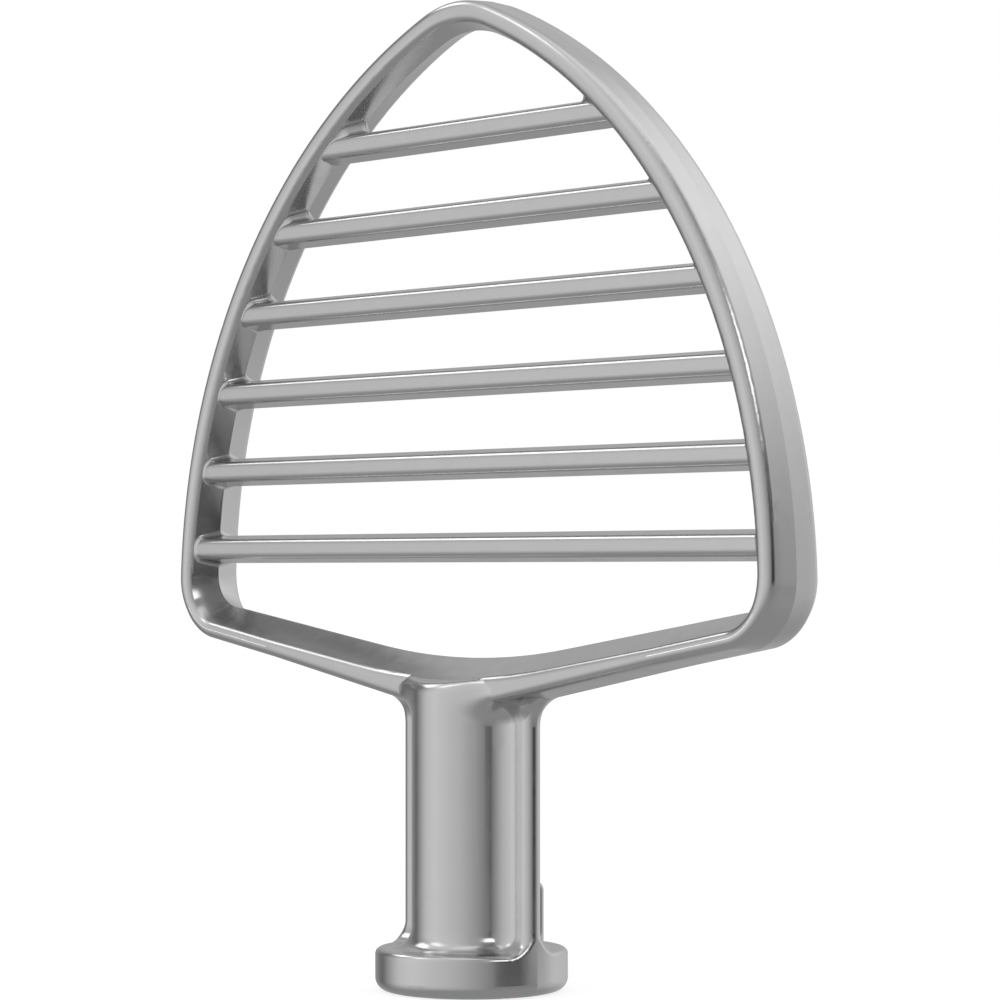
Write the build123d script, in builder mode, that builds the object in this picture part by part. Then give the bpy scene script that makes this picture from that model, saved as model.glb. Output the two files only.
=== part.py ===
from build123d import *
from math import atan, atan2, cos, degrees, radians, sin, tan
import os

# Pastry beater: one stainless casting. A pointed-arch frame carries six cross rods,
# and a ribbed stem below it ends in a collar with the bore for the mixer's shaft.
# Millimetres. The origin is at the middle of the collar's foot, +Z runs up the stem,
# X is the width of the frame and the parting plane is Y = 0.

# Frame outline, measured at the parting plane
total_height = 162.9
frame_width = 145.2
widest_height = 67.9
apex_radius = 21.5
corner_radius = 11.3
flank_lean = 1.3
arm_slope = 10.7
outer_draft = 3.5
arm_outer_draft = 8.0

# Opening inside the frame, measured at the parting plane
bar_width = 4.73
apex_bar_width = 4.8
opening_apex_radius = 18.4
opening_widest_height = 68.5
opening_corner_radius = 5.85
opening_lean = 1.7
opening_slope = 8.8
opening_root_radius = 145.0
inner_draft = 16.0
arm_inner_draft = 30

# Depth of the frame from front to back, at its widest place and at the tip
depth_at_widest = 11.6
depth_at_tip = 8.55
rim_radius = 1.55
inner_rim_radius = 1.45

# Cross rods: drafted flats above and below, and a round nose front and back
rod_count = 6
lowest_rod_height = 72.9
rod_pitch = 13.7
rod_height = 4.9
rod_setback = 1.2
rod_nose_height = 3.2
rod_nose_radius = 1.4

# Stem: a round core with a rib on each side, the ribs flush with the collar
core_diameter = 19.8
rib_thickness = 3.4
rib_blend_radius = 3.6
rib_inset = 0.15
rib_flare_radius = 4.9
rib_flare_rounding = 1.68

# Collar
collar_diameter = 31.8
collar_height = 7.0
collar_foot_radius = 2.2
collar_rim_radius = 1.0
collar_blend_radius = 3.4

# Bore for a mixer shaft, with the channel and the pocket for the shaft's cross pin
shaft_diameter = 12.7
shaft_clearance = 0.3
bore_depth = 38.0
bore_mouth_chamfer = 0.6
pin_diameter = 4.7
pin_clearance = 0.3
pin_reach = 10.3
pin_height = 14.0
pin_turn = 35.0
housing_wall = 1.3
housing_crown_radius = 1.6


def arch(half_width, height, top, tip_radius, toe_radius, lean, slope, root_radius=0.0):
    """Right half of a pointed arch: its tip, flank, toe, sloping arm, and root on the axis.

    The toe's centre is at the height where the arch is widest. The flank is the arc that
    meets both the tip and the toe smoothly, and at the toe it still leans in a little.
    """
    out = Vector(cos(radians(lean)), sin(radians(lean)))
    tip_centre = Vector(0, top - tip_radius)
    flank_end = Vector(half_width - toe_radius, height) + out * toe_radius
    gap = flank_end - tip_centre
    flank_radius = (gap.length**2 - tip_radius**2) / (2 * (gap.dot(out) - tip_radius))
    to_tip = tip_centre - (flank_end - out * flank_radius)
    flank_turn = degrees(atan2(to_tip.Y, to_tip.X)) - lean
    tip = JernArc((0, top), (1, 0), tip_radius, lean + flank_turn - 90)
    flank = JernArc(tip @ 1, tip % 1, flank_radius, -flank_turn)
    toe = JernArc(flank @ 1, flank % 1, toe_radius, slope - lean - 90)
    reach = (toe @ 1).X - root_radius * sin(radians(slope))
    arm = Line(toe @ 1, toe @ 1 - Vector(reach, reach * tan(radians(slope))))
    root = JernArc(arm @ 1, arm % 1, root_radius, -slope) if root_radius else arm
    Line(root @ 1, (0, top))


def drafted_arch(
    depth, grow, arm_grow, half_width, height, top, tip_radius, toe_radius, lean, slope, root_radius=0.0
):
    """Solid from the parting plane forward, and its mirror image, with an arch for its outline.

    At that depth the outline has moved out by grow at its tip and flanks and by arm_grow at
    its arms, so its sides are drafted by different angles and turn from one to the other
    round the toe.
    """
    fall = (arm_grow - grow) / cos(radians(slope))
    with BuildPart() as half:
        with BuildSketch(Plane.XZ):
            with BuildLine():
                arch(half_width, height, top, tip_radius, toe_radius, lean, slope, root_radius)
            make_face()
            mirror(about=Plane.YZ)
        with BuildSketch(Plane.XZ.offset(depth)):
            with BuildLine():
                arch(
                    half_width + grow,
                    height - fall,
                    top + grow,
                    tip_radius + grow,
                    toe_radius + grow,
                    lean,
                    slope,
                    root_radius + arm_grow if root_radius else 0.0,
                )
            make_face()
            mirror(about=Plane.YZ)
        loft(ruled=True)
        mirror(about=Plane.XZ)
    return half.part


def off_parting(edges):
    """Edges that lie wholly in front of or behind the parting plane."""
    return edges.filter_by(lambda edge: edge.bounding_box().min.Y > 0 or edge.bounding_box().max.Y < 0)


def radial_plane(angle):
    """Upright plane through the stem's axis, at an angle round it from +X."""
    turn = radians(angle)
    return Plane(origin=(0, 0, 0), x_dir=(cos(turn), sin(turn), 0), z_dir=(sin(turn), -cos(turn), 0))


half_width = frame_width / 2
rib_reach = collar_diameter / 2 - rib_inset
toe_drop = corner_radius * cos(radians(arm_slope))
toe_reach = half_width - corner_radius * (1 - sin(radians(arm_slope)))
arm_root_height = widest_height - toe_drop - toe_reach * tan(radians(arm_slope))
taper_per_height = (depth_at_widest - depth_at_tip) / (total_height - widest_height)
depth_at_foot = depth_at_widest + taper_per_height * widest_height
bore_radius = (shaft_diameter + shaft_clearance) / 2
channel_reach = pin_reach + pin_clearance
channel_width = pin_diameter + 2 * pin_clearance
housing_radius = channel_reach + housing_wall
housing_height = pin_height + channel_width / 2 + housing_wall
housing_side = degrees(atan(channel_width / 2 / channel_reach) + housing_wall / housing_radius)

# Cross rods, each a little less deep than the frame is at its height
with BuildPart() as rods:
    for index in range(rod_count):
        rod_level = lowest_rod_height + index * rod_pitch
        nose = (depth_at_foot - rod_level * taper_per_height) / 2 - rod_setback
        with BuildSketch(Plane.YZ) as rod_section:
            with BuildLine():
                Polyline(
                    (0, rod_level + rod_height / 2),
                    (nose, rod_level + rod_nose_height / 2),
                    (nose, rod_level - rod_nose_height / 2),
                    (0, rod_level - rod_height / 2),
                    (-nose, rod_level - rod_nose_height / 2),
                    (-nose, rod_level + rod_nose_height / 2),
                    close=True,
                )
            make_face()
            corners = rod_section.vertices().group_by(Axis.X)
            fillet(corners[0] + corners[-1], radius=rod_nose_radius)
        extrude(amount=half_width, both=True)
    with BuildSketch(Plane.XZ):
        with BuildLine():
            arch(half_width, widest_height, total_height, apex_radius, corner_radius, flank_lean, arm_slope)
        make_face()
        mirror(about=Plane.YZ)
        offset(amount=-bar_width / 2)
    extrude(amount=depth_at_foot, both=True, mode=Mode.INTERSECT)

# Opening, deep enough to be cut through the top of the core too
opening_reach = core_diameter / 2 + rim_radius
opening = drafted_arch(
    opening_reach,
    opening_reach * tan(radians(inner_draft)),
    opening_reach * tan(radians(arm_inner_draft)),
    half_width - bar_width,
    opening_widest_height,
    total_height - apex_bar_width,
    opening_apex_radius,
    opening_corner_radius,
    opening_lean,
    opening_slope,
    opening_root_radius,
)

# Flares, where the edge of each rib curves out under its arm
with BuildPart() as flares:
    with BuildSketch(Plane.XZ):
        with BuildLine():
            run = rib_flare_radius * tan(radians((90 - arm_slope) / 2))
            start = arm_root_height + rib_reach * tan(radians(arm_slope)) - run
            flare = JernArc((rib_reach, start), (0, 1), rib_flare_radius, arm_slope - 90)
            top = (flare @ 1).Y + bar_width / 2
            inner = rib_reach - rib_thickness
            Polyline(flare @ 1, ((flare @ 1).X, top), (inner, top), (inner, start), flare @ 0)
        make_face()
    extrude(amount=rib_thickness / 2, both=True)
    curved = flares.edges().filter_by(lambda edge: edge.geom_type != GeomType.LINE)
    fillet(curved, radius=rib_flare_rounding)
    mirror(about=Plane.YZ)

# Frame plate, drafted both ways from the parting plane
plate_reach = depth_at_foot / 2
plate = drafted_arch(
    plate_reach,
    -plate_reach * tan(radians(outer_draft)),
    -plate_reach * tan(radians(arm_outer_draft)),
    half_width,
    widest_height,
    total_height,
    apex_radius,
    corner_radius,
    flank_lean,
    arm_slope,
)

with BuildPart() as pastry_beater:
    # Frame plate, thinner towards the tip
    add(plate)
    with BuildSketch(Plane.YZ):
        with BuildLine():
            Polyline(
                (-depth_at_foot / 2, 0),
                (depth_at_foot / 2, 0),
                (depth_at_tip / 2, total_height),
                (-depth_at_tip / 2, total_height),
                close=True,
            )
        make_face()
    extrude(amount=half_width, both=True, mode=Mode.INTERSECT)
    fillet(off_parting(pastry_beater.edges(Select.NEW)), radius=rim_radius)

    # Stem: core and ribs in one section, run up into the arms
    with BuildSketch(Plane.XY) as stem_section:
        Circle(core_diameter / 2)
        SlotOverall(2 * rib_reach, rib_thickness)
        roots = stem_section.vertices().filter_by_position(Axis.X, -core_diameter / 2, core_diameter / 2)
        fillet(roots, radius=rib_blend_radius)
    extrude(amount=arm_root_height + core_diameter / 2)

    add(flares.part)

    # Opening, cut through the plate and the top of the core
    add(opening, mode=Mode.SUBTRACT)
    fillet(off_parting(pastry_beater.edges(Select.NEW)), radius=inner_rim_radius)
    add(rods.part)

    # Collar, cut round only after its blend to the stem is made, so the ribs stay flush with it
    with BuildSketch(Plane.XY):
        Circle(collar_diameter)
    extrude(amount=collar_height)
    blended = pastry_beater.edges(Select.NEW).filter_by_position(Axis.Z, collar_height, collar_height)
    fillet(blended.filter_by(lambda edge: edge.center().Z > 0), radius=collar_blend_radius)
    with BuildSketch(Plane.XY):
        Circle(collar_diameter * 2)
        Circle(collar_diameter / 2, mode=Mode.SUBTRACT)
    extrude(amount=collar_height + collar_blend_radius, mode=Mode.SUBTRACT)
    fillet(pastry_beater.edges(Select.NEW), radius=collar_rim_radius)
    fillet(pastry_beater.edges().group_by(Axis.Z)[0], radius=collar_foot_radius)

    # Housing on the back of the core, round the pocket that the pin turns into
    with BuildSketch(radial_plane(90 - pin_turn - housing_side)) as housing_profile:
        with BuildLine():
            Polyline(
                (0, 0),
                (housing_radius, 0),
                (housing_radius, housing_height),
                (0, housing_height),
                close=True,
            )
        make_face()
        crown = housing_profile.vertices().sort_by(lambda corner: corner.X + corner.Y)[-1]
        fillet(crown, radius=housing_crown_radius)
    revolve(axis=Axis.Z, revolution_arc=pin_turn + 2 * housing_side)

    # Bore, its mouth, the channel that the pin slides up and the pocket that it turns into
    with BuildSketch(Plane.XY):
        Circle(bore_radius)
    extrude(amount=bore_depth, mode=Mode.SUBTRACT)
    mouth = pastry_beater.edges().group_by(Axis.Z)[0].sort_by(SortBy.LENGTH)[0]
    chamfer(mouth, length=bore_mouth_chamfer)
    with BuildSketch(Plane.XY):
        Circle(channel_reach)
        with Locations((0, channel_reach / 2)):
            Rectangle(channel_width, channel_reach, mode=Mode.INTERSECT)
    extrude(amount=pin_height + channel_width / 2, mode=Mode.SUBTRACT)
    with BuildSketch(radial_plane(90 - pin_turn)):
        with Locations((channel_reach / 2, pin_height)):
            Rectangle(channel_reach, channel_width)
    revolve(axis=Axis.Z, revolution_arc=pin_turn, mode=Mode.SUBTRACT)

pastry_beater.part.label = "pastry_beater"
os.makedirs("parts", exist_ok=True)
export_step(pastry_beater.part, "parts/pastry_beater.step")
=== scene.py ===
# %% [markdown]
# A pastry beater is one stainless casting: a pointed-arch frame with six cross rods,
# on a ribbed stem that ends in a collar. Everything here is in metres, in the frame of
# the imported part: the origin is at the middle of the collar's foot and +Z runs up the stem.
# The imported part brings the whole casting, and this lesson adds its finish, its finest
# rounds, and the studio that it was photographed in.

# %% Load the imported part
from math import cos, pi, radians, sin, tan

import bpy
import numpy as np
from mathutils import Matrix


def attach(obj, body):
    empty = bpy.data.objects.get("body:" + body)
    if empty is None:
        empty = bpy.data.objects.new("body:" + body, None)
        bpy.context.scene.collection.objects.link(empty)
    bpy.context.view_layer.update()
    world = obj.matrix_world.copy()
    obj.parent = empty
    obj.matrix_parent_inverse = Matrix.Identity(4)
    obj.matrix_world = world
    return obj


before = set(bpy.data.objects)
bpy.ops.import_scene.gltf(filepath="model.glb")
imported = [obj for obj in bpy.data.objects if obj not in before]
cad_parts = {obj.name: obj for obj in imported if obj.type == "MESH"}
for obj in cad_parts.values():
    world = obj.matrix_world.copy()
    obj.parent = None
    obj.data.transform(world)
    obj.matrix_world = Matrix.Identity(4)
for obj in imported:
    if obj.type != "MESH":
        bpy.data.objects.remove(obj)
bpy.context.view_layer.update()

# %% [markdown]
# The beater is seen from its front right, from a little over half a metre away and about as
# high as its lowest rod. A camera that looks down at the stem would make upright edges lean
# together. This one looks level, and the picture is moved up inside it instead, as with a
# shift lens, so that the stem's two sides stay upright.

# %% Camera
camera_turn = radians(47.5)
camera_distance = 0.5673
camera_side = 0.00469
camera_height = 0.0688
picture_shift = 0.0723
sensor_width = 36.0
focal_share = 3.438  # focal length as a share of the sensor's width

camera_data = bpy.data.cameras.new("camera")
camera_data.sensor_width = sensor_width
camera_data.lens = focal_share * sensor_width
camera_data.shift_y = picture_shift
camera_data.clip_start = 0.01
camera = bpy.data.objects.new("camera", camera_data)
camera.location = (
    camera_distance * sin(camera_turn) + camera_side * cos(camera_turn),
    -camera_distance * cos(camera_turn) + camera_side * sin(camera_turn),
    camera_height,
)
camera.rotation_euler = (pi / 2, 0, camera_turn)
bpy.context.scene.collection.objects.link(camera)
bpy.context.scene.camera = camera
print("camera: lens", round(camera_data.lens, 1), "mm, place", [round(c, 3) for c in camera.location])

# %% [markdown]
# Polished steel has hardly a tone of its own: its greys are the studio's, seen in it as in a
# mirror. Lamps and cards could stand round the beater as objects. Here the background itself
# is painted instead, as a brightness for every direction, because each bright or dark band on
# the round core and collar then answers to one angle, and soft edges come without noise. The
# painting is a sum worked out by small Math nodes, and these helpers make them.

# %% Helpers that do sums on the background's nodes
world = bpy.data.worlds.new("studio")
bpy.context.scene.world = world
world.use_nodes = True
tree = world.node_tree
tree.nodes.clear()


def math_node(operation, *inputs):
    """One Math node on values or sockets; returns its output."""
    node = tree.nodes.new("ShaderNodeMath")
    node.operation = operation
    for index, item in enumerate(inputs):
        if isinstance(item, (int, float)):
            node.inputs[index].default_value = item
        else:
            tree.links.new(item, node.inputs[index])
    return node.outputs[0]


def ramp(value, start, end):
    """0 before start, 1 after end, a smooth step between them."""
    node = tree.nodes.new("ShaderNodeMapRange")
    node.interpolation_type = "SMOOTHSTEP"
    node.inputs["From Min"].default_value = start
    node.inputs["From Max"].default_value = end
    tree.links.new(value, node.inputs["Value"])
    return node.outputs["Result"]


def band(value, low, high, edge):
    """1 between low and high, with an edge of that width on each side, and 0 outside."""
    rise = ramp(value, low - edge / 2, low + edge / 2)
    fall = ramp(value, high - edge / 2, high + edge / 2)
    return math_node("SUBTRACT", rise, fall)


def both(first, second):
    """The product of two masks: 1 only where both are 1."""
    return math_node("MULTIPLY", first, second)


def paint(under, level, mask):
    """The under value where the mask is 0, and level where it is 1."""
    change = math_node("SUBTRACT", level, under)
    return math_node("MULTIPLY_ADD", change, mask, under)


print("studio: an empty background with", len(tree.nodes), "nodes")

# %% [markdown]
# A direction is easier to paint by two angles than by three numbers. One angle goes round the
# beater, from the camera's side, with the picture's right as positive. The other goes up from
# eye level. Both are in degrees.

# %% Directions as two angles
direction = tree.nodes.new("ShaderNodeTexCoord").outputs["Generated"]
split = tree.nodes.new("ShaderNodeSeparateXYZ")
tree.links.new(direction, split.inputs[0])
east, north, rise = split.outputs
to_front = math_node(
    "SUBTRACT",
    math_node("MULTIPLY", east, sin(camera_turn)),
    math_node("MULTIPLY", north, cos(camera_turn)),
)
to_right = math_node(
    "ADD",
    math_node("MULTIPLY", east, cos(camera_turn)),
    math_node("MULTIPLY", north, sin(camera_turn)),
)
around = math_node("MULTIPLY", math_node("ARCTAN2", to_right, to_front), 180 / pi)
up = math_node("MULTIPLY", math_node("ARCSINE", rise), 180 / pi)
down = math_node("MULTIPLY", up, -1.0)
print("directions: two angles from", len(tree.nodes), "nodes")

# %% [markdown]
# At eye level the stem shows the whole room, squeezed into its width: a broad pale wall on
# the left, a black card at the front right that draws the dark line beside the rib, and a
# second pale wall behind it. A Color Ramp holds these levels, because a row of stops reads
# like the room itself, from behind, past the left, the front and the right, to behind again.

# %% Levels round the room at eye level
room_stops = [
    (-180, 0.46), (-162, 0.38), (-132, 0.16), (-97, 0.78), (-76, 0.88), (-20, 0.66), (27, 0.32),
    (30, 0.14), (42, 0.05), (60, 0.05), (82, 0.45), (116, 0.78), (146, 0.68), (180, 0.46),
]
ring = tree.nodes.new("ShaderNodeValToRGB")
for index, (angle, grey) in enumerate(room_stops):
    place = (angle + 180) / 360
    stop = ring.color_ramp.elements[0] if index == 0 else ring.color_ramp.elements.new(place)
    if index == 0:
        ring.color_ramp.elements.remove(ring.color_ramp.elements[1])
        stop.position = 0.0
    stop.color = (grey, grey, grey, 1)
tree.links.new(math_node("MULTIPLY_ADD", around, 1 / 360, 0.5), ring.inputs[0])
room = tree.nodes.new("ShaderNodeRGBToBW")
tree.links.new(ring.outputs[0], room.inputs[0])
print("room:", len(ring.color_ramp.elements), "levels from", min(room_stops, key=lambda s: s[1])[1], "up")

# %% [markdown]
# Above and below eye level the faces that lean, such as the frame's drafted sides and the
# rods' upper flats, look at other parts of the room. So the room is painted over in turn: a
# glow on the right, the floor, walls higher up, three lamps, and the ceiling.

# %% Walls, floor, lamps and ceiling
def lamp(under, level, heights, sides, edges):
    """A soft-edged rectangle of light, given by its angles up and around and its edges."""
    return paint(under, level, both(band(up, *heights, edges[0]), band(around, *sides, edges[1])))


glow_level, card_floor_level, floor_level = 0.36, 0.31, 0.36
back_level, left_level, ceiling_level = 0.6, 0.78, 1.0

light = math_node(
    "ADD", room.outputs[0], both(ramp(up, 3, 45), both(band(around, 30, 150, 60), glow_level))
)
light = paint(light, card_floor_level, both(ramp(down, 6.5, 10.5), band(around, 20, 85, 20)))
light = paint(light, floor_level, ramp(down, 5, 45))
behind = ramp(math_node("ABSOLUTE", around), 145, 165)
light = paint(light, back_level, both(ramp(up, 15, 35), behind))
light = paint(light, left_level, both(ramp(up, 36, 50), band(around, -146, -60, 30)))

# The white line on each rod, the glint on the core's top edge, the glint in the left corner
light = lamp(light, 2.5, (35, 48), (-142, -116), (8, 12))
light = lamp(light, 1.9, (44, 60), (-100, -80), (8, 8))
light = lamp(light, 2.4, (28, 46), (28, 52), (6, 8))
light = paint(light, ceiling_level, ramp(up, 66, 80))
print("studio:", len(tree.nodes), "nodes")

# %% [markdown]
# The picture's own background is plain white. Only rays that come straight from the camera
# get it, and the steel goes on mirroring the painted room.

# %% White behind the beater
ray = tree.nodes.new("ShaderNodeLightPath")
white_level = 1.0
seen_light = paint(light, white_level, ray.outputs["Is Camera Ray"])
background = tree.nodes.new("ShaderNodeBackground")
tree.links.new(seen_light, background.inputs["Color"])
world_output = tree.nodes.new("ShaderNodeOutputWorld")
tree.links.new(background.outputs[0], world_output.inputs[0])
print("background: white to the camera, painted to the steel")

# %% [markdown]
# The casting is tumbled and polished to a satin: it mirrors, but softly, and its face is
# never quite even. One metal shader gives that, with a roughness that wanders a little, long
# shallow waves left from the mould, and a grit far too fine to see one by one. An image of
# brushed steel could do it too, but noise in the piece's own coordinates has no seam.

# %% Steel
steel = bpy.data.materials.new("satin_steel")
steel.use_nodes = True
nodes, links = steel.node_tree.nodes, steel.node_tree.links
shader = nodes["Principled BSDF"]
shader.inputs["Base Color"].default_value = (0.62, 0.62, 0.62, 1)
shader.inputs["Metallic"].default_value = 1.0
on_piece = nodes.new("ShaderNodeTexCoord").outputs["Object"]


def noise(scale, detail):
    """Noise over the piece, with that many cells to the metre."""
    texture = nodes.new("ShaderNodeTexNoise")
    texture.inputs["Scale"].default_value = scale
    texture.inputs["Detail"].default_value = detail
    links.new(on_piece, texture.inputs["Vector"])
    return texture.outputs[0]


def spread(value, low, high):
    """The noise's middle range mapped to low and high."""
    node = nodes.new("ShaderNodeMapRange")
    node.inputs["From Min"].default_value = 0.3
    node.inputs["From Max"].default_value = 0.7
    node.inputs["To Min"].default_value = low
    node.inputs["To Max"].default_value = high
    links.new(value, node.inputs["Value"])
    return node.outputs["Result"]


def bump(height, distance):
    """A bump of full strength: the height runs over that distance, in metres."""
    node = nodes.new("ShaderNodeBump")
    node.inputs["Strength"].default_value = 1.0
    node.inputs["Distance"].default_value = distance
    links.new(height, node.inputs["Height"])
    return node


links.new(spread(noise(260, 3), 0.16, 0.24), shader.inputs["Roughness"])
waves = bump(noise(140, 2), 0.00003)
grit = bump(noise(2600, 2), 0.0000012)
links.new(waves.outputs[0], grit.inputs["Normal"])
links.new(grit.outputs[0], shader.inputs["Normal"])

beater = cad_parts["pastry_beater"]
beater.data.materials.clear()
beater.data.materials.append(steel)
print("steel:", len(nodes), "nodes, on a mesh of", len(beater.data.polygons), "faces")

# %% [markdown]
# Where a rod runs into the frame, the casting has a small soft corner all round it. It could
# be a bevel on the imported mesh, but the rod meets a wall that leans, is drafted and has a
# rounded rim, so each corner is worked out instead: every line along the rod's side is bent
# over into the wall by its own little arc, and the arcs together make one surface.

# %% Sizes that the dressed forms share with the casting, in millimetres
total_height, widest_height = 162.9, 67.9
depth_at_widest, depth_at_tip = 11.6, 8.55
half_opening, opening_top = 67.87, 158.1
opening_widest, opening_toe, opening_tip = 68.5, 5.85, 18.4
opening_lean, inner_draft, inner_rim = radians(1.7), radians(16.0), 1.45
rod_count, lowest_rod, rod_pitch = 6, 72.9, 13.7
rod_height, nose_height, nose_radius, rod_setback = 4.9, 3.2, 1.4, 1.2

taper = (depth_at_widest - depth_at_tip) / (total_height - widest_height)


def half_depth(height):
    """Half the frame's depth, front to back: it falls evenly with the height."""
    return (depth_at_widest + taper * (widest_height - height)) / 2


ends = [round(half_depth(height), 2) for height in (widest_height, total_height)]
print("half depth at the widest place and at the tip:", ends, "mm")

# %% [markdown]
# The flank of the opening is one long arc, and the same kind of arc makes the frame's outside.
# Its radius isn't a free choice: it has to touch the small arc at the tip and the small arc
# at the toe, the lower corner.

# %% The flank's arc
def flank_arc(half, widest, top, tip, toe, lean):
    """Centres of the tip, the toe and the flank of a pointed arch, and the flank's radius.

    The gap runs from the tip's centre to the toe's upper end, and out is the direction that
    the toe ends in. The radius is the gap's square less the tip's, over twice the gap along
    out less the tip: the one at which the arc is tangent to both.
    """
    out = np.array([cos(lean), sin(lean)])
    tip_centre, toe_centre = np.array([0, top - tip]), np.array([half - toe, widest])
    end = toe_centre + out * toe
    gap = end - tip_centre
    radius = (gap @ gap - tip**2) / (2 * (gap @ out - tip))
    return tip_centre, toe_centre, end - out * radius, radius


opening_shape = (half_opening, opening_widest, opening_top, opening_tip, opening_toe, opening_lean)
flank_centre, flank_radius = flank_arc(*opening_shape)[2:]
print("flank of the opening: radius", round(float(flank_radius), 1), "mm")

# %% The wall that the rods run into
def wall(y, z):
    """Distance of the opening's wall from the middle, at a depth y and a height z.

    At the parting plane it is the flank's arc. From there the wall falls back by the draft,
    and over the last part of its depth it turns into the round rim.
    """
    level = flank_centre[0] + np.sqrt(flank_radius**2 - (z - flank_centre[1]) ** 2)
    lean = np.arcsin(np.clip((z - flank_centre[1]) / flank_radius, -1, 1))
    edge = half_depth(z)
    turn = edge - inner_rim * (1 - sin(inner_draft))
    depth = np.minimum(np.abs(y), turn)
    past = np.clip(np.abs(y) - (edge - inner_rim), 0, 0.999 * inner_rim)
    round_start = inner_rim * cos(inner_draft)
    round_off = np.where(np.abs(y) > turn, round_start - np.sqrt(inner_rim**2 - past**2), 0)
    return level + (depth * tan(inner_draft) + round_off) / np.cos(lean)


print("wall at the lowest rod:", round(float(wall(0.0, lowest_rod)), 2), "mm from the middle")

# %% Section of a rod
def rod_outline(nose):
    """Points of a rod's section and the directions that they face, in order round it.

    Two drafted flats above and two below meet in a ridge, and a round nose of nose_radius
    joins them at the front and back. Between two features the facing direction turns evenly.
    """
    slope = np.arctan((rod_height - nose_height) / 2 / nose)
    reach = nose - nose_radius
    shoulder = nose_height / 2 - nose_radius / np.cos(slope) + np.tan(slope) * nose_radius
    fan = np.linspace(pi / 2 - slope, pi / 2 + slope, 5)
    arc = np.linspace(pi / 2 + slope, pi, 10)
    flat = np.linspace(0, 1, 8)[1:-1]
    ridge = np.stack([0 * fan, 0 * fan + rod_height / 2], 1)
    bow = np.stack([-reach + nose_radius * np.cos(arc), shoulder + nose_radius * np.sin(arc)], 1)
    run = ridge[-1] + (bow[0] - ridge[-1]) * flat[:, None]
    quarter = np.concatenate([ridge[2:], run, bow])
    facing = np.concatenate([fan[2:], 0 * flat + pi / 2 + slope, arc])
    lower, turned = quarter[::-1] * [1, -1], -facing[::-1]
    front, front_facing = np.concatenate([quarter, lower]), np.concatenate([facing, turned])
    back, back_facing = front[::-1] * [-1, 1], pi - front_facing[::-1]
    points = np.concatenate([front, back])
    angles = np.concatenate([front_facing, back_facing])
    return points, np.stack([np.cos(angles), np.sin(angles)], 1)


print("rod section:", len(rod_outline(4.6)[0]), "points")

# %% [markdown]
# The arc of a soft corner is drawn as a curve between its two ends that is pulled towards the
# sharp corner. With the right weight on that pull, such a curve is a true circle's arc. How
# far its ends lie from the corner depends on the angle there, which depends on where the end
# comes to lie on the wall, so the distance is found in a few rounds.

# %% Soft corners at the ends of a rod
def rod_corner(level, side, radius=1.15, steps=11):
    """Grid of one rod's soft corner: round the section by along the arc, in millimetres.

    A line along the rod meets the wall at the corner point. The arc starts on that line and
    ends on the wall, both at the same distance from the corner point: the radius divided by
    the tangent of half the angle between the two.
    """
    points, out = rod_outline(half_depth(level) - rod_setback)
    y, z = points[:, 0], level + points[:, 1]
    corner = np.stack([wall(y, z), y, z], 1)
    away = np.array([-1.0, 0, 0])
    distance = np.full(len(y), radius)
    for _ in range(6):
        y_end, z_end = y + distance * out[:, 0], z + distance * out[:, 1]
        y_end = np.clip(y_end, 0.05 - half_depth(z_end), half_depth(z_end) - 0.05)
        chord = np.stack([wall(y_end, z_end), y_end, z_end], 1) - corner
        span = np.linalg.norm(chord, axis=1)
        half_angle = np.arccos(np.clip(chord @ away / span, -0.98, 0.98)) / 2
        distance = distance * np.clip(radius / np.tan(half_angle) / span, 0.5, 1.5)
    start, end = corner + away * span[:, None], corner + chord
    weight = np.sin(half_angle)[:, None, None]
    t = np.linspace(0, 1, steps)[None, :, None]
    pull = 2 * weight * t * (1 - t)
    arc = (1 - t) ** 2 * start[:, None] + pull * corner[:, None] + t**2 * end[:, None]
    arc = arc / ((1 - t) ** 2 + pull + t**2)
    inward = np.concatenate([np.zeros((len(y), 1)), -out], 1)
    root = start + away * 0.5 + inward * 0.05
    sunk = end + np.array([0.5, 0, 0]) + inward * 0.1
    grid = np.concatenate([root[:, None], arc, sunk[:, None]], 1)
    return grid * [side, 1, 1]


corner_grid = rod_corner(lowest_rod, 1)
print("soft corner: a grid of", corner_grid.shape[0], "by", corner_grid.shape[1], "points")

# %% [markdown]
# A grid of points becomes a mesh once each face knows its corners. Points are numbered row by
# row, so whole arrays of numbers, shifted by one row or one column, give all faces at once.

# %% Meshes from grids
def smooth_mesh(name, points, faces):
    """A mesh with smooth faces, from points in millimetres: a thousandth of each in metres."""
    mesh = bpy.data.meshes.new(name)
    mesh.from_pydata((points / 1000).tolist(), [], faces)
    mesh.polygons.foreach_set("use_smooth", np.ones(len(mesh.polygons), bool))
    mesh.update()
    return mesh


def closed_mesh(name, grid, flip):
    """A mesh from a grid that closes round its first side, with a pole at each end.

    A face has a point, its neighbour round the section, and the two after them. Each end is
    closed by triangles to its middle. Flip turns every face round, for a mirrored grid.
    """
    rows, columns = grid.shape[:2]
    near = np.arange(rows * columns).reshape(rows, columns)
    far = np.roll(near, -1, 0)
    quads = np.stack([near[:, :-1], far[:, :-1], far[:, 1:], near[:, 1:]], -1).reshape(-1, 4)
    poles = np.array([grid[:, 0].mean(0), grid[:, -1].mean(0)])
    first = np.full(rows, rows * columns)
    caps = np.concatenate([
        np.stack([far[:, 0], near[:, 0], first], -1),
        np.stack([near[:, -1], far[:, -1], first + 1], -1),
    ])
    turn = -1 if flip else 1
    faces = quads[:, ::turn].tolist() + caps[:, ::turn].tolist()
    return smooth_mesh(name, np.concatenate([grid.reshape(-1, 3), poles]), faces)


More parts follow.
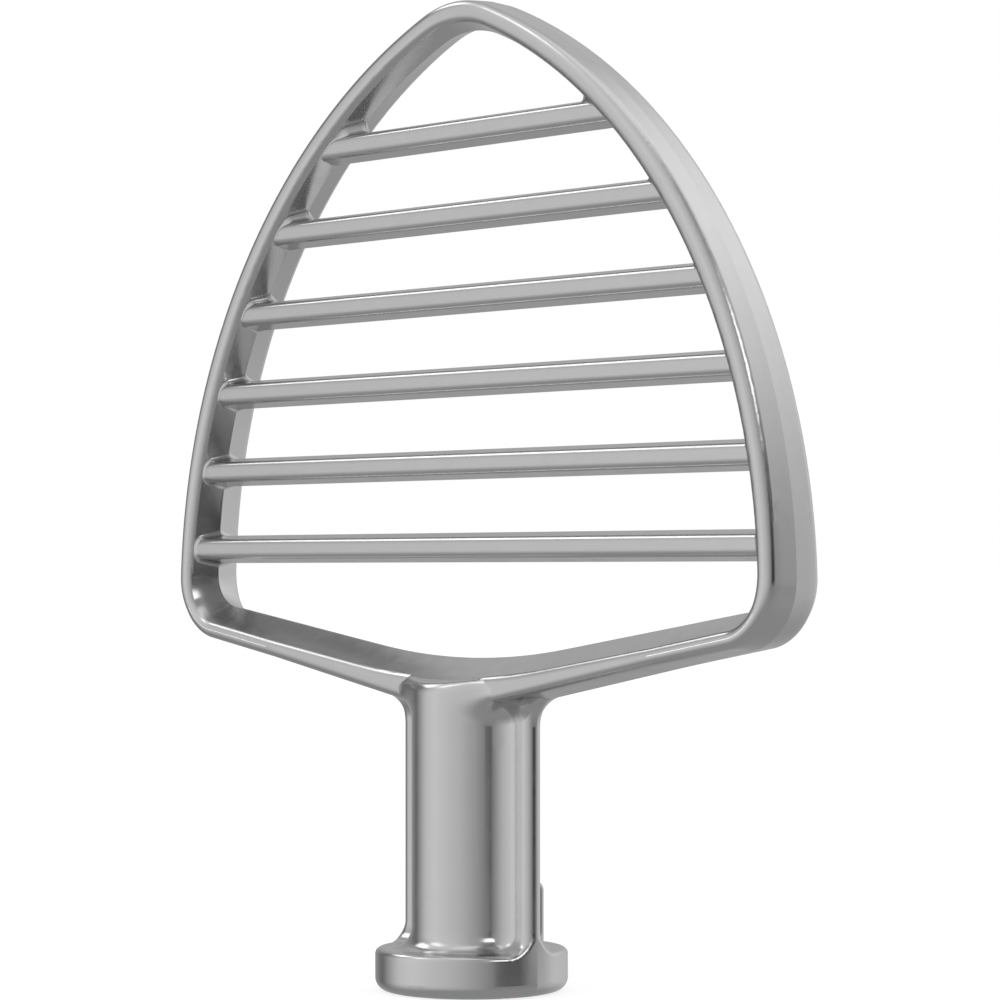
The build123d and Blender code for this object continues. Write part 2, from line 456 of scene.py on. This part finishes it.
def dress(name, mesh):
    """A piece of the casting: it rides on the part and takes the same steel."""
    piece = bpy.data.objects.new(name, mesh)
    bpy.context.scene.collection.objects.link(piece)
    mesh.materials.append(steel)
    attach(piece, "root")
    return piece


for number in range(rod_count):
    for side, word in ((-1, "left"), (1, "right")):
        corner_grid = rod_corner(lowest_rod + number * rod_pitch, side)
        dress(f"rod_{number + 1}_{word}_corner", closed_mesh("soft_corner", corner_grid, side > 0))
print("soft corners:", 2 * rod_count, "of", corner_grid.shape[0] * corner_grid.shape[1], "points each")

# %% [markdown]
# At the hub the two arms, the core and the ribs all run into each other with soft corners.
# No single profile carries through such a meeting, so the form is described by a distance:
# how far any point in space is from the metal. Two distances join in a soft corner when the
# sum of their shortfalls from a radius is measured as on a circle, and the surface is found
# where the joined distance is zero.

# %% Two ways to combine distances
def join(a, b, radius):
    """Union of two distances, with a soft inner corner.

    Where both are shorter than the radius, the result is the radius less the length of the
    two shortfalls taken as the sides of a right angle.
    """
    short = np.hypot(np.maximum(radius - a, 0), np.maximum(radius - b, 0))
    return np.maximum(radius, np.minimum(a, b)) - short


def trim(a, b, radius):
    """What two distances share, with a rounded outer edge: the join turned inside out."""
    over = np.hypot(np.maximum(radius + a, 0), np.maximum(radius + b, 0))
    return np.minimum(-radius, np.maximum(a, b)) + over


def smooth(value, start, end):
    """0 before start, 1 after end, and between them three squares less two cubes."""
    share = np.clip((value - start) / (end - start), 0, 1)
    return share * share * (3 - 2 * share)


print("a corner of 2 between two faces 0.5 away:", round(float(join(0.5, 0.5, 2.0)), 3))

# %% Distances to the pieces that meet at the hub, in millimetres
hub_reach, hub_low, hub_high = 24.0, 36.0, 60.0
core_radius, rib_half, rib_tip = 9.9, 1.7, 15.75
arm_slope, arm_draft, arm_root = radians(10.7), radians(8.0), 44.8
floor_slope, floor_draft, floor_radius, floor_root = radians(8.8), radians(30.0), 145.0, 54.706
core_blend, arm_blend, outer_rim, hub_rim = 2.4, 3.4, 1.55, 1.6
hair, dive = 0.015, 0.3


def hub_distance(x, y, z):
    """Distance to the metal round the hub, less a hair so that the casting's own faces show.

    Core and ribs join first, then the arms between their front and back faces and their
    undersides. The floor of the opening trims them all, and towards the ends the form dives
    under the casting.
    """
    x, y = np.abs(x), np.abs(y)
    core = np.hypot(x, y) - core_radius
    rib = np.hypot(np.maximum(x - rib_tip + rib_half, 0), y) - rib_half
    under = (arm_root + x * tan(arm_slope) - z) * cos(arm_slope) + y * tan(arm_draft)
    arms = trim(y - half_depth(z), under * cos(arm_draft), outer_rim)
    metal = join(join(core, rib, core_blend), arms, arm_blend)
    root_end = floor_radius * sin(floor_slope)
    curve = floor_root + floor_radius - np.sqrt(floor_radius**2 - np.minimum(x, root_end) ** 2)
    floor_line = curve + np.maximum(x - root_end, 0) * tan(floor_slope)
    fall = np.where(y < 6, y, 6 + (y - 6) * 0.3) * tan(floor_draft)
    above = (z - floor_line + fall) * cos(floor_draft)
    metal = trim(metal, above, hub_rim)
    side_end = smooth(x, hub_reach - 6, hub_reach - 1)
    low_end = smooth(-z, -hub_low - 5, -hub_low - 1)
    return metal + hair + dive * side_end + dive * low_end


print("distance at the core's front:", round(float(hub_distance(0.0, -core_radius, 45.0)), 3), "mm")

# %% [markdown]
# A distance isn't a mesh yet. Space is cut into small cubes, and wherever the surface passes
# through a cube, that cube gets one point. Remeshing tools do the same, but here each point
# also slides exactly onto the surface, and takes the direction that it faces from the
# distance itself, so the steel's reflections run without a ripple.

# %% Surface of a distance
def gradient(points, step=0.02):
    """Direction in which the distance grows, from its change over a small step each way."""
    shifts = np.eye(3) * step
    change = [hub_distance(*(points + s).T) - hub_distance(*(points - s).T) for s in shifts]
    slope = np.stack(change, 1) / (2 * step)
    return slope / np.linalg.norm(slope, axis=1, keepdims=True)


def crossed_cubes(inside):
    """Places of the cubes with some of their eight corners inside, and a number for each."""
    size = np.array(inside.shape) - 1
    count = np.zeros(size, int)
    for i, j, k in np.ndindex(2, 2, 2):
        count += inside[i : size[0] + i, j : size[1] + j, k : size[2] + k]
    cubes = np.argwhere((count > 0) & (count < 8))
    number = np.full(count.shape, -1)
    number[tuple(cubes.T)] = np.arange(len(cubes))
    return cubes, number


def surface(low, high, pitch):
    """Points and four-cornered faces of the surface where the distance is zero.

    Each crossed cube gets one point, moved onto the surface along the gradient. Each edge
    between inside and outside gets one face, from the points of the four cubes round it.
    """
    axes = [np.arange(a, b + pitch / 2, pitch) for a, b in zip(low, high)]
    field = hub_distance(*np.meshgrid(*axes, indexing="ij"))
    for axis in range(3):
        for end in (0, -1):
            np.moveaxis(field, axis, 0)[end] = 1.0
    inside = field < 0
    cubes, number = crossed_cubes(inside)
    points = np.array([axis[0] for axis in axes]) + (cubes + 0.5) * pitch
    for _ in range(4):
        shift = np.clip(hub_distance(*points.T), -pitch, pitch)
        points = points - gradient(points) * shift[:, None]
    faces = []
    for axis in range(3):
        cross = inside != np.roll(inside, -1, axis)
        np.moveaxis(cross, axis, 0)[-1] = False
        at = np.argwhere(cross)
        one, two = np.eye(3, dtype=int)[[(axis + 1) % 3, (axis + 2) % 3]]
        ring = np.stack([number[tuple((at - back).T)] for back in (one + two, two, 0 * one, one)], 1)
        leaving = ~inside[tuple(at.T)]
        ring[leaving] = ring[leaving][:, ::-1]
        faces.append(ring)
    return points, np.concatenate(faces)


hub_points, hub_faces = surface((-hub_reach, -11.0, hub_low), (hub_reach, 11.0, hub_high), 0.3)
hub_mesh = smooth_mesh("hub", hub_points, hub_faces.tolist())
hub_mesh.normals_split_custom_set_from_vertices(gradient(hub_points).tolist())
dress("hub_blend", hub_mesh)
print("hub:", len(hub_points), "points,", 2 * len(hub_faces), "triangles")

# %% [markdown]
# The frame is one bar bent to a pointed arch. Its section has a ridge on the outside and on
# the inside, at the parting plane, drafted faces, and a round rim front and back. The packed
# mesh has these forms, but a polished face shows every facet of it, so the bar is laid over
# it once more as a profile carried along the arch, a hair proud, with even rows all the way.

# %% Outlines of the bar at the parting plane
half_width, apex_radius, corner_radius, flank_lean = 72.6, 21.5, 11.3, radians(1.3)
arm_share = 0.36  # where the arm ends and its root begins, as a share of the way out
stretches = (26, 90, 34, 40, 24)


def arch_points(shape, slope, root_height, root):
    """Points down the right half of a pointed arch: tip, flank, toe, arm and root.

    Three arcs, each tangent to the next, then a straight arm, then, where root isn't 0, an
    arc of that radius that levels out on the axis. Each stretch has its own even steps.
    """
    tip, toe, lean = shape[3:]
    tip_centre, toe_centre, centre, radius = flank_arc(*shape)
    joint = np.arctan2(*(tip_centre - centre)[::-1])

    def arc(middle, size, start, end, count):
        angle = np.linspace(start, end, count + 1)[:-1]
        return middle + size * np.stack([np.cos(angle), np.sin(angle)], 1)

    arm_start = toe_centre + toe * np.array([sin(slope), -cos(slope)])
    arm_end = arm_start * [arm_share, 1]
    arm_end[1] = arm_start[1] - (arm_start[0] - arm_end[0]) * tan(slope)
    share = np.linspace(0, 1, stretches[3] + 1)[:-1, None]
    across = np.linspace(arm_end[0], 0, stretches[4] + 1)
    reach = root * sin(slope)
    line = arm_end[1] - (arm_end[0] - across) * tan(slope)
    bent = root_height + root - np.sqrt(root**2 - np.minimum(across, reach) ** 2)
    low = np.where(across < reach, bent, line)
    return np.concatenate([
        arc(tip_centre, tip, pi / 2, joint, stretches[0]),
        arc(centre, radius, joint, lean, stretches[1]),
        arc(toe_centre, toe, lean, slope - pi / 2, stretches[2]),
        arm_start + (arm_end - arm_start) * share,
        np.stack([across, low], 1),
    ])


frame_shape = (half_width, widest_height, total_height, apex_radius, corner_radius, flank_lean)
outer = arch_points(frame_shape, arm_slope, arm_root, 0)
inner = arch_points(opening_shape, floor_slope, floor_root, floor_radius)
print("arch: outer width", round(2 * outer[:, 0].max(), 1), "mm, points", len(outer))

# %% [markdown]
# The section is drawn between the outer and the inner line. Along the flanks its faces lean
# little, and round the toe they come to lean as much as the arms' do. Both faces end in a
# round rim, and where the bar is too thin for two full rims, they meet in the middle.

# %% Section of the bar, carried along the arch
proud = 0.02
flank_draft, rim_steps, toe_tilt = radians(3.5), 10, radians(9.7)
face_steps = np.array([[0.0, 0.025, 0.06, 0.3, 0.65]])


def bar_section(thick, edge, outer_draft, draft, tilt):
    """Half a section, from the outer ridge over both rims to the inner ridge.

    u runs across the bar and v towards the front. A rim's middle lies one rim radius behind
    the front, and as far from its ridge as the radius over the draft's cosine and the
    draft's fall together. Each rim turns evenly from its face's direction to the front's.
    """
    middle_out = (outer_rim / np.cos(outer_draft) + (edge - outer_rim) * np.tan(outer_draft)) * tilt
    middle_in = thick - (inner_rim / np.cos(draft) + (edge - inner_rim) * np.tan(draft)) * tilt
    crowd = np.maximum(middle_out - middle_in, 0) / 2
    middle_out, middle_in = middle_out - crowd, middle_in + crowd
    turn = np.linspace(0, 1, rim_steps)
    first = pi - outer_draft + (outer_draft - pi / 2) * turn
    second = pi / 2 + (draft - pi / 2) * turn
    u_out = middle_out + outer_rim * np.cos(first) * tilt
    v_out = edge - outer_rim + outer_rim * np.sin(first)
    u_in = middle_in + inner_rim * np.cos(second) * tilt
    v_in = edge - inner_rim + inner_rim * np.sin(second)
    u_floor = thick + (u_in[:, -1:] - thick) * face_steps[:, ::-1]
    u = np.concatenate([u_out[:, :1] * face_steps, u_out, u_in, u_floor], 1)
    v = np.concatenate([v_out[:, :1] * face_steps, v_out, v_in, v_in[:, -1:] * face_steps[:, ::-1]], 1)
    return u, v


def bar_grid():
    """Grid of the bar: along the arch by round the section.

    Each point is the outer line's, plus u along the way to the inner line, at the depth v.
    The back half of the section and the left half of the arch are mirrored.
    """
    to_arm = smooth(np.arange(len(outer)), sum(stretches[:2]), sum(stretches[:3]))[:, None]
    across = inner - outer
    thick = np.linalg.norm(across, axis=1, keepdims=True)
    across = across / thick
    edge = half_depth((outer[:, 1:] + inner[:, 1:]) / 2) + proud
    outer_draft = flank_draft + to_arm * (arm_draft - flank_draft)
    draft = inner_draft + to_arm * (floor_draft - inner_draft)
    u, v = bar_section(thick + 2 * proud, edge, outer_draft, draft, 1 / np.cos(to_arm * toe_tilt))
    u, v = np.concatenate([u, u[:, -2:0:-1]], 1), np.concatenate([-v, v[:, -2:0:-1]], 1)
    flat = (outer - proud * across)[:, None] + across[:, None] * u[..., None]
    right = np.stack([flat[..., 0], v, flat[..., 1]], -1)
    left = right[-2:0:-1] * [-1, 1, 1]
    return np.concatenate([right, left])


bar = bar_grid()
print("bar:", bar.shape[0], "sections of", bar.shape[1], "points")

# %% The bar's mesh
def ring_mesh(name, grid):
    """A closed mesh from a grid that closes both ways, like a tyre."""
    rows, columns = grid.shape[:2]
    index = np.arange(rows * columns).reshape(rows, columns)
    after, beside = np.roll(index, -1, 0), np.roll(index, -1, 1)
    faces = np.stack([index, beside, np.roll(after, -1, 1), after], -1).reshape(-1, 4)
    return smooth_mesh(name, grid.reshape(-1, 3), faces.tolist())


bar_mesh = ring_mesh("frame_bar", bar)
dress("frame_bar", bar_mesh)
print("bar:", 2 * len(bar_mesh.polygons), "triangles")

# %% [markdown]
# The beater stands on a pale sweep of paper. A plane is enough for it. It is a matt grey that
# takes the soft shadow, with a glow for the camera's rays alone that lifts it to the white of
# the background. To the steel's reflections it is clear, because the studio's painting
# already holds the floor's tone.

# %% Floor
floor_gain = 0.76
bpy.ops.mesh.primitive_plane_add(size=6.0, location=(0, 0, 0))
floor = bpy.context.object
floor.name = "floor"
pale_floor = bpy.data.materials.new("pale_floor")
pale_floor.use_nodes = True
floor_nodes, floor_links = pale_floor.node_tree.nodes, pale_floor.node_tree.links
matt = floor_nodes["Principled BSDF"]
matt.inputs["Base Color"].default_value = (0.4, 0.4, 0.4, 1)
matt.inputs["Roughness"].default_value = 0.9
matt.inputs["Specular IOR Level"].default_value = 0.0
seen = floor_nodes.new("ShaderNodeLightPath")
gain = floor_nodes.new("ShaderNodeMath")
gain.operation = "MULTIPLY"
gain.inputs[1].default_value = floor_gain
floor_links.new(seen.outputs["Is Camera Ray"], gain.inputs[0])
glow = floor_nodes.new("ShaderNodeEmission")
floor_links.new(gain.outputs[0], glow.inputs["Strength"])
lifted = floor_nodes.new("ShaderNodeAddShader")
floor_links.new(matt.outputs[0], lifted.inputs[0])
floor_links.new(glow.outputs[0], lifted.inputs[1])
clear = floor_nodes.new("ShaderNodeBsdfTransparent")
open_floor = floor_nodes.new("ShaderNodeMixShader")
floor_links.new(seen.outputs["Is Glossy Ray"], open_floor.inputs[0])
floor_links.new(lifted.outputs[0], open_floor.inputs[1])
floor_links.new(clear.outputs[0], open_floor.inputs[2])
floor_links.new(open_floor.outputs[0], floor_nodes["Material Output"].inputs["Surface"])
floor.data.materials.append(pale_floor)
print("floor:", len(floor_nodes), "nodes")

# %% [markdown]
# Last, the picture keeps its greys as they are painted.

# %% Output
scene = bpy.context.scene
scene.view_settings.view_transform = "Standard"
print("sizes written for", len(bpy.data.meshes), "meshes")
